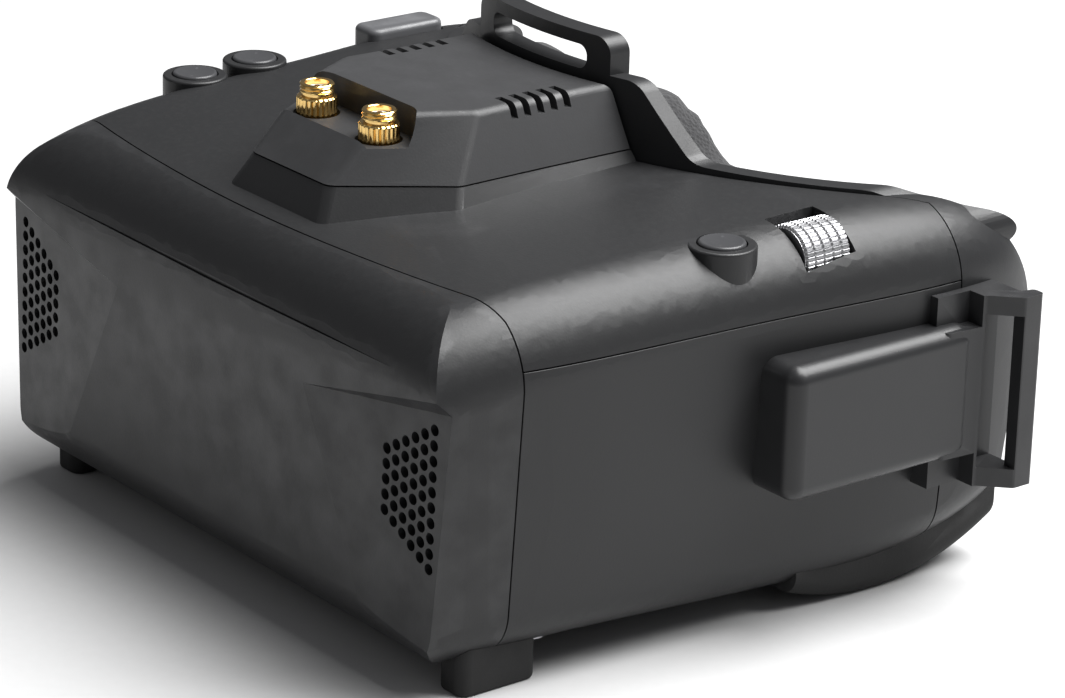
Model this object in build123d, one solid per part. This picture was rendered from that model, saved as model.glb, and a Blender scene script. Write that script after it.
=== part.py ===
from build123d import *
import math
import os

# Box-type video goggles. Millimetres, +Z up; the wearer looks along -Y and sits at +Y,
# with the left hand at +X. The origin is at the middle of the footprint, on the surface
# that the goggles stand on.

# ---- overall sizes ---------------------------------------------------------------------
overall_depth = 134.0          # front face to the rearmost point of the foam
body_half_width = 78.5         # side wall at the rear seam, at the height of the side seam
body_top = 75.2                # highest point of the casing's top surface
body_base = 4.5                # underside of the casing
wall = 2.2                     # moulded wall
seam_gap = 0.3                 # groove between two mouldings
side_lean = 0.066              # how far the side walls lean out, per millimetre of height
crown = 2.6                    # fall of the top surface at the sides
front_fall = 5.6               # fall of the top surface at the front face
nose_drop = 2.4                # extra fall of the front edge at the sides
temple_fall = 8.0              # fall of the top surface at the temples
temple_rise = 8.2              # rise of the underside at the temples
top_edge_radius = 14.0
base_edge_radius = 10.0
front_y = -overall_depth / 2
rear_y = overall_depth / 2

# ---- seams -----------------------------------------------------------------------------
front_cover_depth = 16.0       # front face to the seam, at the corners
front_seam_bow = 6.0           # how far the seam comes forward in the middle
front_seam_reach = 66.0        # half-width of the bowed stretch
side_seam_z = 60.9             # where the top cover meets the lower housing
spigot_wall = 1.2
spigot_length = 3.0
spigot_clearance = 0.1
rear_lip = 1.6
front_seam_y = front_y + front_cover_depth

# ---- face frame ------------------------------------------------------------------------
foam_thickness = 14.2
foam_half_width = 70.0
foam_margin = 4.0              # foam's outline inside the frame's outline
face_radius = 78.0             # forehead curve in plan
flange_thickness = 3.5
temple_setback = 3.0           # temple edge in front of the foam's rearmost point
cheek_depth = 20.7             # rear seam to the temple edge
forehead_top = 90.0
forehead_half = 25.4           # half-width of the forehead plate at its top
brow_half = 36.4               # half-width where it runs out into the rim
rim_brow_z = 76.4
rim_corner = (62.0, 75.0)
rim_temple = (73.5, 69.0)
loop_half = 19.5
loop_slot_half = 14.0
loop_slot_height = 4.6
loop_bar = 2.5
loop_depth = 4.4
seam_radius = face_radius + flange_thickness
temple_y = rear_y - temple_setback
rear_seam_y = temple_y - cheek_depth
face_centre_y = rear_y - foam_thickness + math.sqrt(face_radius ** 2 - foam_half_width ** 2)
face_opening = [(-54, 31), (-47, 23), (-31, 23), (-12, 42), (12, 42), (31, 23), (47, 23),
                (54, 31), (54, 58), (46, 67), (-46, 67), (-54, 58)]
nose_notch = [(-27, -12), (-14, 24), (-6, 35), (6, 35), (14, 24), (27, -12)]
nose_pocket_y = -2.0           # how far the nose reaches into the housing

# ---- front cover -----------------------------------------------------------------------
facet_recess = 2.4             # depth of the vent facet at the cover's side
facet_edge = [(30.5, 47.5), (51.0, 6.0)]
facet_top = [(30.8, 49.6), (69.5, 58.2)]
facet_top_slope = 1.1
vent_hole_radius = 1.03
vent_pitch = 2.81
vent_columns = 6
vent_rows = 10
vent_outer_x = 65.0
vent_centre_z = 38.9
groove_z = 60.1
groove_half = 55.0
groove_width = 0.9
groove_depth = 0.7

# ---- receiver bay ----------------------------------------------------------------------
bay_foot_z = 70.0
bay_seam_z = 77.2
bay_top_z = 88.9
bay_clearance = 0.4            # between the bay's cover and the face frame
bay_foot = [(14.6, -53.4), (29.0, -33.2), (29.2, -10.0)]
bay_waist = [(11.9, -49.4), (25.2, -29.8), (24.8, -10.0)]
bay_roof = [(12.9, -37.2), (20.4, -22.4), (20.0, -10.0)]
bay_corner_radius = 3.0
bay_edge_radius = 2.0
bay_wall = 1.8
antenna_half_pitch = 9.6
antenna_y = -36.6
antenna_hole_radius = 4.3
recess_half_length = 17.0
recess_half_width = 5.6
recess_floor_z = 83.2
slot_count = 5
slot_pitch = 3.07
slot_first_y = -14.9
slot_width = 1.5
slot_inner_x = 16.0
slot_low_z = 86.2
receiver_board_z = 78.4
receiver_board_thickness = 1.6
receiver_board_half = 16.5
receiver_board_y = (-41.0, -1.0)

# ---- antenna sockets -------------------------------------------------------------------
thread_radius = 3.175          # standard quarter-inch coaxial thread
thread_exposed = 1.7
collar_radius = 3.75
collar_height = 4.3
collar_neck = 0.7
neck_radius = 2.6
antenna_bore_radius = 2.25
antenna_pin_radius = 0.45
collar_flutes = 22

# ---- controls --------------------------------------------------------------------------
button_x = 66.2
button_y = -3.6
button_radius = 4.3
button_rim_z = 73.5
button_stand = 0.5             # how far a button stands above its rim
button_clearance = 0.3
button_rim_wall = 1.7
button_rim_depth = 6.8
button_flange = 1.0            # height of the flange that keeps a button in its rim
button_flange_reach = 0.8
button_travel = 0.8
far_button_x = -67.6
far_buttons = {"channel_button": (-24.4, 73.6), "band_button": (-10.4, 74.4)}
wheel_x = 67.4
wheel_y = 15.4
wheel_z = 68.4
wheel_radius = 6.0
wheel_width = 10.4
wheel_teeth = 28
wheel_tooth_depth = 0.45
wheel_play = 0.05
wheel_side_gap = 0.5
axle_radius = 1.0
holder_plate = 1.4
rocker_x = -68.2
rocker_y = 25.0
rocker_length = 18.0
rocker_width = 7.6
rocker_top_z = 76.4
rocker_depth = 6.4
rocker_pivot_drop = 4.4        # its pivot below its top
rocker_pin_radius = 0.8
rocker_gap = 0.4
button_board_z = 62.0
button_board_thickness = 1.2
switch_size = 5.0

# ---- strap brackets --------------------------------------------------------------------
pad_front_y = -0.5
pad_rear_y = 43.0
pad_low_z = 28.6
pad_high_z = 54.0
pad_x = 83.8
pad_edge_radius = 3.2
loop_low_z = 22.6
loop_high_z = 59.4
strap_bar_outer_x = 88.8
strap_bar_thick = 2.8
strap_bar_y = 49.4
strap_bar_deep = 4.6
strap_slot = 5.0
strap_plate = 1.6
strap_tab = 3.6

# ---- optics and electronics ------------------------------------------------------------
lens_y = -8.0
lens_half = 55.0
lens_z = (14.0, 68.0)
lens_thickness = 2.4
lens_ledge = 3.0
lens_clearance = 0.1
lens_frame_thickness = 4.6
lens_frame_half = 59.5
display_y = -42.0
display_half = 52.8
display_z = (9.0, 67.5)
display_thickness = 3.0
tray_thickness = 2.0
tray_half = 57.0
board_y = -51.4
board_half = 37.0
board_z = (12.0, 62.0)
board_thickness = 1.6
spacer_radius = 1.7
hood_wall = 1.4
hood_front = (50.0, 11.0, 66.0)
hood_rear = (54.0, 13.0, 69.0)
chip_height = 1.6
sink_size = 24.0
sink_height = 6.0
sink_fins = 7
fan_x = 52.2
fan_size = 25.0
fan_thickness = 7.0
fan_front_y = -61.2
fan_duct_radius = 11.6
fan_rotor_radius = 11.0
fan_hub_radius = 4.6
fan_blades = 7
fan_shaft_radius = 1.0
fan_shaft_play = 0.05

# ---- sockets on the far side -----------------------------------------------------------
power_socket = (-28.5, 21.0)   # y and z
audio_socket = (-17.5, 21.0)
power_nose_radius = 4.2
power_bore_radius = 2.85
power_pin_radius = 1.05
audio_nose_radius = 3.0
audio_bore_radius = 1.8
socket_depth = 12.0
socket_body = 9.0
socket_clearance = 0.15

# ---- feet and screws -------------------------------------------------------------------
front_foot_x = 62.0
front_foot_y = -50.0
foot_length = 17.0
foot_width = 7.4
foot_corner = 2.4
rest_x = (47.0, 71.5)
rest_front = (13.0, 3.8)       # y and z where the cheek rest meets the casing
rest_low = (34.0, -0.3)
rest_rear = (62.0, 7.4)
rest_edge = 3.6
post_radius = 3.4
post_points = [(60.0, -39.0), (57.5, 19.0)]
post_split_z = 15.0
screw_radius = 1.3
screw_clearance = 0.15
screw_head_radius = 2.5
screw_head_height = 1.8
screw_sink = 3.0
screw_length = 13.0
bracket_screw_y = (8.0, 34.0)
bracket_screw_z = 41.0
bracket_screw_length = 6.4


# ---- simple solids ---------------------------------------------------------------------
def block(x0, x1, y0, y1, z0, z1):
    """A box from its two corners."""
    return Pos((x0 + x1) / 2, (y0 + y1) / 2, (z0 + z1) / 2) * Box(x1 - x0, y1 - y0, z1 - z0)


def along_z(radius, x, y, z0, z1):
    """A round bar along Z."""
    return Pos(x, y, (z0 + z1) / 2) * Cylinder(radius, z1 - z0)


def along_x(radius, x0, x1, y, z):
    """A round bar along X."""
    return Pos((x0 + x1) / 2, y, z) * Rot(0, 90, 0) * Cylinder(radius, x1 - x0)


def along_y(radius, x, y0, y1, z):
    """A round bar along Y."""
    return Pos(x, (y0 + y1) / 2, z) * Rot(90, 0, 0) * Cylinder(radius, y1 - y0)


def front_prism(points, radius, y0, y1):
    """A prism along Y whose outline is drawn in front view, its corners rounded."""
    frame = Plane(origin=(0, y0, 0), x_dir=(1, 0, 0), z_dir=(0, -1, 0))
    outline = FilletPolyline(*points, radius=radius, close=True)
    return extrude(frame * make_face(outline), y0 - y1)


def other_side(solid):
    """The same solid across the middle plane."""
    return mirror(solid, about=Plane.YZ)


# ---- the casing's outer form -----------------------------------------------------------
def side_profile(x, fall, front_drop, inset, front_inset):
    """The casing seen from the side, at x; fall lowers the top, front_drop its front end."""
    low = body_base + inset
    top = body_top - inset - fall
    start = front_y + front_inset
    length = rear_seam_y - front_y
    top_points = [
        (start, top - front_fall - front_drop),
        (front_y + 0.05 * length, top - 0.895 * front_fall),
        (front_y + 0.34 * length, top - 0.21 * front_fall),
        (front_y + 0.65 * length, top),
        (rear_seam_y - 2, top - 0.2),
        (temple_y - 9, top - 0.36 * temple_fall),
        (temple_y, top - temple_fall),
    ]
    base_points = [
        (temple_y, low + temple_rise),
        (rear_seam_y - 1, low + 0.27 * temple_rise),
        (front_y + 0.65 * length, low),
        (start, low),
    ]
    frame = Plane(origin=(x, 0, 0), x_dir=(0, 1, 0), z_dir=(1, 0, 0))
    outline = [
        Spline(*top_points),
        Line(top_points[-1], base_points[0]),
        Spline(*base_points),
        Line(base_points[-1], top_points[0]),
    ]
    return frame * make_face(outline)


def plan_profile(z, inset, front_inset):
    """The casing seen from above, at height z; the side walls lean out towards the top."""
    half = body_half_width - inset + side_lean * (z - side_seam_z)
    side = [
        (half - 9.3, front_y + front_inset),
        (half - 6.6, front_seam_y),
        (half - 2.8, front_y + 0.65 * (rear_seam_y - front_y)),
        (half, rear_seam_y),
        (half - 0.9, temple_y - 9),
        (half - 3.2, temple_y),
    ]
    other = [(-x, y) for x, y in reversed(side)]
    outline = [
        Spline(*side),
        Line(side[-1], other[0]),
        Spline(*other),
        Line(other[-1], side[0]),
    ]
    return Plane.XY.offset(z) * make_face(outline)


def long_edges(solid, low, high):
    """The two edges from front to rear whose middles lie between two heights."""
    span = 0.7 * (temple_y - front_y)
    return [e for e in solid.edges() if e.length > span and low < (e @ 0.5).Z < high]


def casing(inset=0.0, front_inset=0.0):
    """The casing's form: its side view crossed with its plan, and its long edges rounded."""
    reach = body_half_width + 12
    across = loft([
        side_profile(-reach, crown, nose_drop, inset, front_inset),
        side_profile(0, 0, 0, inset, front_inset),
        side_profile(reach, crown, nose_drop, inset, front_inset),
    ])
    upward = loft(
        [plan_profile(-10, inset, front_inset), plan_profile(body_top + 30, inset, front_inset)],
        ruled=True,
    )
    body = across & upward
    middle = (body_top + body_base) / 2
    body = fillet(long_edges(body, middle, body_top), top_edge_radius - inset)
    return fillet(long_edges(body, body_base - 1, middle), base_edge_radius - inset)


def beyond(reach, y, bow_y, far_y):
    """The space on far_y's side of an edge in plan that bows to bow_y in the middle."""
    edge = ThreePointArc((-reach, y), (0, bow_y), (reach, y))
    rest = Polyline((reach, y), (140, y), (140, far_y), (-140, far_y), (-140, y), (-reach, y))
    return extrude(Plane.XY.offset(-30) * make_face([edge, rest]), 180)


def before_front_seam(shift):
    """The space in front of the front seam, with the seam moved back by shift."""
    y = front_seam_y + shift
    return beyond(front_seam_reach, y, y - front_seam_bow, front_y - 60)


def behind_rear_seam(shift):
    """The space behind the rear seam, with the seam moved back by shift."""
    y = rear_seam_y + shift
    radius = seam_radius - shift
    reach = math.sqrt(radius ** 2 - (face_centre_y - y) ** 2)
    return beyond(reach, y, face_centre_y - radius, rear_y + 60)


def face_cylinder(radius, shift=0.0):
    """The upright cylinder that the wearer's face fills."""
    return along_z(radius, 0, face_centre_y + shift, -60, 160)


outer = casing()
inner = casing(wall, wall)
shell = outer - inner
tongue = casing(wall + spigot_clearance, wall + spigot_clearance)
hollow = casing(wall + spigot_wall, wall + spigot_wall)
half_gap = seam_gap / 2
above_seam = block(-140, 140, -140, 140, side_seam_z + half_gap, 160)
below_seam = block(-140, 140, -140, 140, -40, side_seam_z - half_gap)
between_seams = shell - before_front_seam(half_gap) - behind_rear_seam(-half_gap)


def wall_x(solid, y, z):
    """How far out the solid reaches at y and z, on the +X side."""
    return (solid & block(0, 120, y - 0.1, y + 0.1, z - 0.1, z + 0.1)).bounding_box().max.X


def roof_z(solid, x, y):
    """How high the solid reaches at x and y."""
    return (solid & block(x - 0.1, x + 0.1, y - 0.1, y + 0.1, 20, 120)).bounding_box().max.Z


# ---- front cover -----------------------------------------------------------------------
def beyond_plane(a, b, c, outwards):
    """A thick slab on one side of the plane through three points, the side of outwards."""
    a, b, c = Vector(a), Vector(b), Vector(c)
    normal = (b - a).cross(c - a).normalized()
    if normal.dot(Vector(outwards)) < 0:
        normal = normal * -1
    return Plane(origin=a, x_dir=b - a, z_dir=normal) * Pos(0, 0, 20) * Box(300, 300, 40)


def facet_cutter(depth):
    """The space in front of the vent facet, moved back into the cover by depth."""
    y = front_y + depth
    (x0, z0), (x1, z1) = facet_edge
    (x2, z2), (x3, z3) = facet_top
    facet = beyond_plane((x0, y, z0), (x1, y, z1), (x3, y + facet_recess, z0), (0, -1, 0))
    deep = (x2, y + 10, z2 - 10 * facet_top_slope)
    under = beyond_plane((x2, y, z2), (x3, y, z3), deep, (0, 0, -1))
    return facet & under


def vent_holes():
    """A triangle of round holes, each column half a pitch out of step with the last."""
    step = vent_pitch * math.cos(math.radians(30))
    holes = []
    for column in range(vent_columns):
        rows = vent_rows - column
        x = vent_outer_x - column * step
        for row in range(rows):
            z = vent_centre_z + (row - (rows - 1) / 2) * vent_pitch
            holes.append(along_y(vent_hole_radius, x, front_y - 2, front_y + 9, z))
    return holes


def fan_corners():
    """The four points of the fan's screw pattern, in front view."""
    reach = fan_size / 2 - 2.0
    return [(fan_x + i * reach, vent_centre_z + k * reach) for i in (-1, 1) for k in (-1, 1)]


def front_cover():
    cutters = [facet_cutter(0), other_side(facet_cutter(0))]
    backing = [facet_cutter(wall), other_side(facet_cutter(wall))]
    front = before_front_seam(-half_gap)
    form = (outer & front) + (tongue & before_front_seam(spigot_length))
    cover = form - (inner & before_front_seam(-spigot_length)) - hollow
    for piece in backing:
        cover += inner & piece & front
    posts = [along_y(1.5, x, front_y, fan_front_y, z) for x, z in fan_corners()]
    for post in posts:
        cover += post & outer
    groove = [(-groove_half, groove_z), (0, groove_z + groove_width / 2), (groove_half, groove_z),
              (0, groove_z - groove_width / 2)]
    frame = Plane(origin=(0, front_y + groove_depth, 0), x_dir=(1, 0, 0), z_dir=(0, -1, 0))
    cover -= extrude(frame * make_face(Polyline(*groove, close=True)), 5)
    cover -= cutters
    holes = vent_holes()
    cover -= holes + [other_side(hole) for hole in holes]
    return cover


# ---- receiver bay ----------------------------------------------------------------------
def bay_section(side, z, inset=0.0):
    """The bay's outline at z: an even hexagon, open to the face frame at its rear."""
    rear = rear_seam_y
    right = [(x, y) for x, y in side] + [(side[-1][0], rear)]
    left = [(-x, y) for x, y in reversed(right)]
    outline = FilletPolyline(*left, *right, radius=bay_corner_radius, close=True)
    face = Plane.XY.offset(z) * make_face(outline)
    if inset:
        face = offset(face, -inset, kind=Kind.INTERSECTION)
    return face


def bay_base():
    """The raised foot of the bay, moulded on the top cover."""
    top = bay_seam_z - half_gap
    return loft([bay_section(bay_foot, bay_foot_z), bay_section(bay_waist, top)], ruled=True)


def antenna_recess(margin, low):
    """The long round-ended recess that the two antenna sockets stand in."""
    radius = recess_half_width + margin
    reach = recess_half_length - recess_half_width
    middle = block(-reach, reach, antenna_y - radius, antenna_y + radius, low, 120)
    ends = [along_z(radius, x, antenna_y, low, 120) for x in (-reach, reach)]
    return middle + ends[0] + ends[1]


def receiver_cover():
    low = bay_seam_z + half_gap
    form = loft([bay_section(bay_waist, low), bay_section(bay_roof, bay_top_z)], ruled=True)
    form -= behind_rear_seam(-bay_clearance)
    form = fillet(form.faces().sort_by(Axis.Z)[-1].edges(), bay_edge_radius)
    hollow = loft([
        bay_section(bay_waist, low, bay_wall),
        bay_section(bay_roof, bay_top_z - bay_wall, bay_wall),
    ], ruled=True)
    cover = form - (hollow - behind_rear_seam(-bay_clearance - bay_wall))
    cover += form & antenna_recess(bay_wall, recess_floor_z - bay_wall)
    cover -= antenna_recess(0, recess_floor_z)
    for side in (-1, 1):
        x = side * antenna_half_pitch
        cover -= along_z(antenna_hole_radius, x, antenna_y, low, bay_top_z)
    for index in range(slot_count):
        y = slot_first_y + index * slot_pitch
        slot = block(slot_inner_x, 40, y - slot_width / 2, y + slot_width / 2, slot_low_z, 120)
        cover -= [slot, other_side(slot)]
    return cover


def board_pillars():
    """Where the receiver board stands on the top cover."""
    y0, y1 = receiver_board_y
    x = receiver_board_half - 3
    return [(i * x, y) for i in (-1, 1) for y in (y0 + 9, y1 - 3)]


def receiver_board():
    y0, y1 = receiver_board_y
    x = receiver_board_half
    top = receiver_board_z + receiver_board_thickness
    board = block(-x + 5, x - 5, y0, y0 + 6, receiver_board_z, top)
    return board + block(-x, x, y0 + 6, y1, receiver_board_z, top)


def receiver_shield():
    top = receiver_board_z + receiver_board_thickness
    can = block(-12, 12, -24, -5, top, top + 4.2)
    return fillet(can.edges().filter_by(Axis.Z) + can.faces().sort_by(Axis.Z)[-1].edges(), 0.6)


def antenna_socket(side):
    """A coaxial socket: fluted collar, neck, threaded mouth, insulator bore and pin."""
    x = side * antenna_half_pitch
    board_top = receiver_board_z + receiver_board_thickness
    thread_low = bay_top_z - thread_exposed
    collar_high = thread_low - collar_neck
    collar_low = collar_high - collar_height
    socket = along_z(thread_radius, x, antenna_y, thread_low, bay_top_z)
    socket += along_z(neck_radius, x, antenna_y, board_top, bay_top_z - 0.2)
    collar = chamfer(along_z(collar_radius, x, antenna_y, collar_low, collar_high).edges(), 0.3)
    flutes = []
    for index in range(collar_flutes):
        angle = 2 * math.pi * index / collar_flutes
        dx, dy = collar_radius * math.cos(angle), collar_radius * math.sin(angle)
        flutes.append(along_z(0.24, x + dx, antenna_y + dy, collar_low + 0.6, collar_high - 0.6))
    socket += collar - flutes
    socket -= along_z(antenna_bore_radius, x, antenna_y, bay_top_z - 2.2, bay_top_z + 1)
    return socket + along_z(antenna_pin_radius, x, antenna_y, bay_top_z - 3, bay_top_z - 0.4)


# ---- controls --------------------------------------------------------------------------
def button(x, y, rim_z):
    """A round cap with a wider flange that keeps it in its rim."""
    top = rim_z + button_stand
    low = rim_z - button_rim_depth
    cap = along_z(button_radius, x, y, low - button_flange, top)
    cap = fillet(cap.faces().sort_by(Axis.Z)[-1].edges(), 0.5)
    flange = along_z(button_radius + button_flange_reach, x, y, low - button_flange, low - 0.05)
    return cap + flange


def rim(x, y, rim_z):
    """The collar round a button, moulded on the top cover."""
    radius = button_radius + button_clearance + button_rim_wall
    ring = along_z(radius, x, y, rim_z - button_rim_depth, rim_z)
    return fillet(ring.faces().sort_by(Axis.Z)[-1].edges(), 0.5)


def button_places():
    """Every round button's name, place and rim height."""
    places = [("record_button", button_x, button_y, button_rim_z)]
    places += [(name, far_button_x, y, z) for name, (y, z) in far_buttons.items()]
    return places


def dial_wheel():
    wheel = along_y(wheel_radius, wheel_x, wheel_y - wheel_width / 2, wheel_y + wheel_width / 2, wheel_z)
    wheel = chamfer(wheel.edges(), 0.4)
    grooves = []
    for index in range(wheel_teeth):
        angle = 2 * math.pi * index / wheel_teeth
        x = wheel_x + wheel_radius * math.cos(angle)
        z = wheel_z + wheel_radius * math.sin(angle)
        grooves.append(along_y(wheel_tooth_depth, x, wheel_y - wheel_width, wheel_y + wheel_width, z))
    wheel -= grooves
    return wheel - along_y(axle_radius + wheel_play, wheel_x, wheel_y - 20, wheel_y + 20, wheel_z)


def dial_holder():
    """A forked holder with the wheel's axle, screwed up under the top cover."""
    reach = wheel_width / 2 + wheel_side_gap
    low = wheel_z - wheel_radius - 1.2
    holder = block(wheel_x - 4, wheel_x + 3, wheel_y - reach - holder_plate,
                   wheel_y + reach + holder_plate, low - holder_plate, low)
    for side in (-1, 1):
        y0 = wheel_y + side * reach
        y1 = y0 + side * holder_plate
        holder += block(wheel_x - 4, wheel_x + 2, min(y0, y1), max(y0, y1), low - 0.1, wheel_z + 1.6)
    holder += along_y(axle_radius, wheel_x, wheel_y - reach - holder_plate,
                      wheel_y + reach + holder_plate, wheel_z)
    return holder & inner


def rocker_slot():
    """The slot in the top cover that the rocker stands in."""
    half = rocker_length / 2 + rocker_gap
    side = rocker_width / 2 + rocker_gap
    slot = block(rocker_x - side, rocker_x + side, rocker_y - half, rocker_y + half,
                 rocker_top_z - 12, rocker_top_z + 5)
    return fillet(slot.edges().filter_by(Axis.Z), 2.2 + rocker_gap)


def rocker_key():
    half = rocker_length / 2
    side = rocker_width / 2
    key = block(rocker_x - side, rocker_x + side, rocker_y - half, rocker_y + half,
                rocker_top_z - rocker_depth, rocker_top_z)
    key = fillet(key.edges().filter_by(Axis.Z), 2.2)
    key = fillet(key.faces().sort_by(Axis.Z)[-1].edges(), 1.2)
    pivot = rocker_top_z - rocker_pivot_drop
    return key - along_x(rocker_pin_radius + wheel_play, rocker_x - 10, rocker_x + 10, rocker_y, pivot)


def rocker_pin():
    pivot = rocker_top_z - rocker_pivot_drop
    reach = rocker_width / 2 + rocker_gap + 1.0
    return along_x(rocker_pin_radius, rocker_x - reach, rocker_x + reach, rocker_y, pivot)


def rocker_lugs():
    """Two ears under the top cover that carry the rocker's pin."""
    pivot = rocker_top_z - rocker_pivot_drop
    ears = []
    for side in (-1, 1):
        x0 = rocker_x + side * (rocker_width / 2 + rocker_gap)
        x1 = x0 + side * 1.4
        ears.append(block(min(x0, x1), max(x0, x1), rocker_y - 2.5, rocker_y + 2.5, pivot - 2.2, pivot + 3))
    return ears


def top_cover():
    cover = between_seams & above_seam
    space = before_front_seam(half_gap) + behind_rear_seam(-half_gap)
    cover += (bay_base() - inner) - space
    for name, x, y, rim_z in button_places():
        cover += rim(x, y, rim_z)
        cover -= along_z(button_radius + button_clearance, x, y, 40, 120)
        flange_reach = button_radius + button_flange_reach + button_clearance
        cover -= along_z(flange_reach, x, y, button_board_z, rim_z - button_rim_depth)
    for x, y in post_points:
        post = along_z(post_radius, x, y, post_split_z, body_top) & inner
        post -= along_z(screw_radius, x, y, post_split_z - 1, post_split_z + screw_length)
        cover += post
        cover += other_side(post)
    for lug in rocker_lugs():
        cover += lug & outer
    cover -= rocker_slot()
    cover -= rocker_pin()
    reach = wheel_width / 2 + wheel_side_gap
    cover -= block(wheel_x - wheel_radius * 0.92, wheel_x + wheel_radius + 0.5, wheel_y - reach,
                   wheel_y + reach, wheel_z - wheel_radius + 1.0, 120)
    for x, y in board_pillars():
        cover += along_z(1.6, x, y, roof_z(outer, x, y) - 1, receiver_board_z)
    return cover


def button_board(places, x_range, y_range):
    """A small circuit board with one switch under each control."""
    top = button_board_z + button_board_thickness
    board = block(*x_range, *y_range, button_board_z, top)
    half = switch_size / 2
    for x, y, height in places:
        board += block(x - half, x + half, y - half, y + half, top - 0.1, height)
    return board


def switch_height(rim_z):
    """The height of a switch's top, clear of its button at the end of its travel."""
    return rim_z - button_rim_depth - button_flange - button_travel - 0.1


def left_button_board():
    places = [(button_x, button_y, switch_height(button_rim_z))]
    return button_board(places, (button_x - 3.5, button_x + 5.5), (button_y - 8, button_y + 8)) & inner


def right_button_board():
    places = [(far_button_x, y, switch_height(z)) for y, z in far_buttons.values()]
    height = rocker_top_z - rocker_depth - 1.6
    places += [(rocker_x, rocker_y + side * 8, height) for side in (-1, 1)]
    x_range = (far_button_x - 4.6, far_button_x + 3.8)
    y_range = (min(y for y, _ in far_buttons.values()) - 6, rocker_y + rocker_length / 2 + 0.5)
    return button_board(places, x_range, y_range) & inner


# ---- face frame ------------------------------------------------------------------------
def half_and_half(right):
    """An outline from its right half, listed from the middle outwards."""
    return [(-x, z) for x, z in reversed(right)] + right


def rear_frame():
    behind = behind_rear_seam(half_gap)
    frame = (outer & behind) - face_cylinder(face_radius)
    frame -= inner - face_cylinder(seam_radius)
    ring = face_cylinder(seam_radius - half_gap) - face_cylinder(face_radius)
    brow = half_and_half([(forehead_half, forehead_top), (brow_half, rim_brow_z), rim_corner,
                          rim_temple, (rim_temple[0], side_seam_z)])
    plate = front_prism(brow, 5.0, front_y, rear_y) & ring
    frame += plate - block(-140, 140, temple_y, rear_y + 10, -20, 140)
    lip = behind_rear_seam(-rear_lip) - behind_rear_seam(half_gap + 0.2)
    frame += (tongue & lip) - hollow
    loop_top = forehead_top + loop_slot_height + loop_bar - 0.1
    loop_low = forehead_top - 3.5
    loop = front_prism(half_and_half([(loop_half, loop_low), (loop_half, loop_top)]), 3.4, front_y, rear_y)
    loop &= face_cylinder(seam_radius - half_gap) - face_cylinder(seam_radius - half_gap - loop_depth)
    frame += loop
    slot = half_and_half([(loop_slot_half, forehead_top - 0.1), (loop_slot_half, loop_top - loop_bar)])
    frame -= front_prism(slot, 2.0, front_y, rear_y)
    frame -= front_prism(face_opening, 4.0, front_y, rear_y + 10)
    return frame - front_prism(nose_notch, 3.0, nose_pocket_y, rear_y + 10)


def foam_pad():
    body = face_cylinder(face_radius - 0.05) - face_cylinder(face_radius, foam_thickness)
    body &= block(-foam_half_width, foam_half_width, front_y, rear_y, -10, 120)
    rim_z = rim_brow_z - foam_margin + 1
    outline = half_and_half([(forehead_half - foam_margin, forehead_top - foam_margin),
                             (brow_half - foam_margin, rim_z), (60.0, rim_z - 2.0), (foam_half_width, 62.0),
                             (foam_half_width, 22.0), (60.0, 12.0)])
    pad = front_prism(outline, 5.0, front_y, rear_y + 5) & body
    pad -= front_prism(face_opening, 4.0, front_y, rear_y + 10)
    return pad - front_prism(nose_notch, 3.0, nose_pocket_y, rear_y + 10)


# ---- lower housing ---------------------------------------------------------------------
def nose_form(margin):
    """The space for the wearer's nose, grown by a margin."""
    outline = make_face(Polyline(*nose_notch, close=True))
    if margin:
        outline = offset(outline, margin, kind=Kind.INTERSECTION)
    frame = Plane(origin=(0, nose_pocket_y - margin, 0), x_dir=(1, 0, 0), z_dir=(0, -1, 0))
    return extrude(frame * outline, -60)


def lower_housing():
    housing = between_seams & below_seam
    housing += (nose_form(wall) & inner) - behind_rear_seam(-half_gap - rear_lip - 0.2)
    housing -= nose_form(0)
    for x, y in post_points:
        boss = along_z(post_radius + 0.8, x, y, body_base, post_split_z) & outer
        housing += boss
        housing += other_side(boss)
        for side in (-1, 1):
            housing -= along_z(screw_radius + screw_clearance, side * x, y, 0, post_split_z + 1)
            housing -= along_z(screw_head_radius + screw_clearance, side * x, y, 0, body_base + screw_sink)
    for y in bracket_screw_y:
        housing -= along_x(screw_radius + screw_clearance, -100, 100, y, bracket_screw_z)
    for (y, z), radius in ((power_socket, power_nose_radius), (audio_socket, audio_nose_radius)):
        housing -= along_x(radius + socket_clearance, -100, -60, y, z)
    return housing


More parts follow.
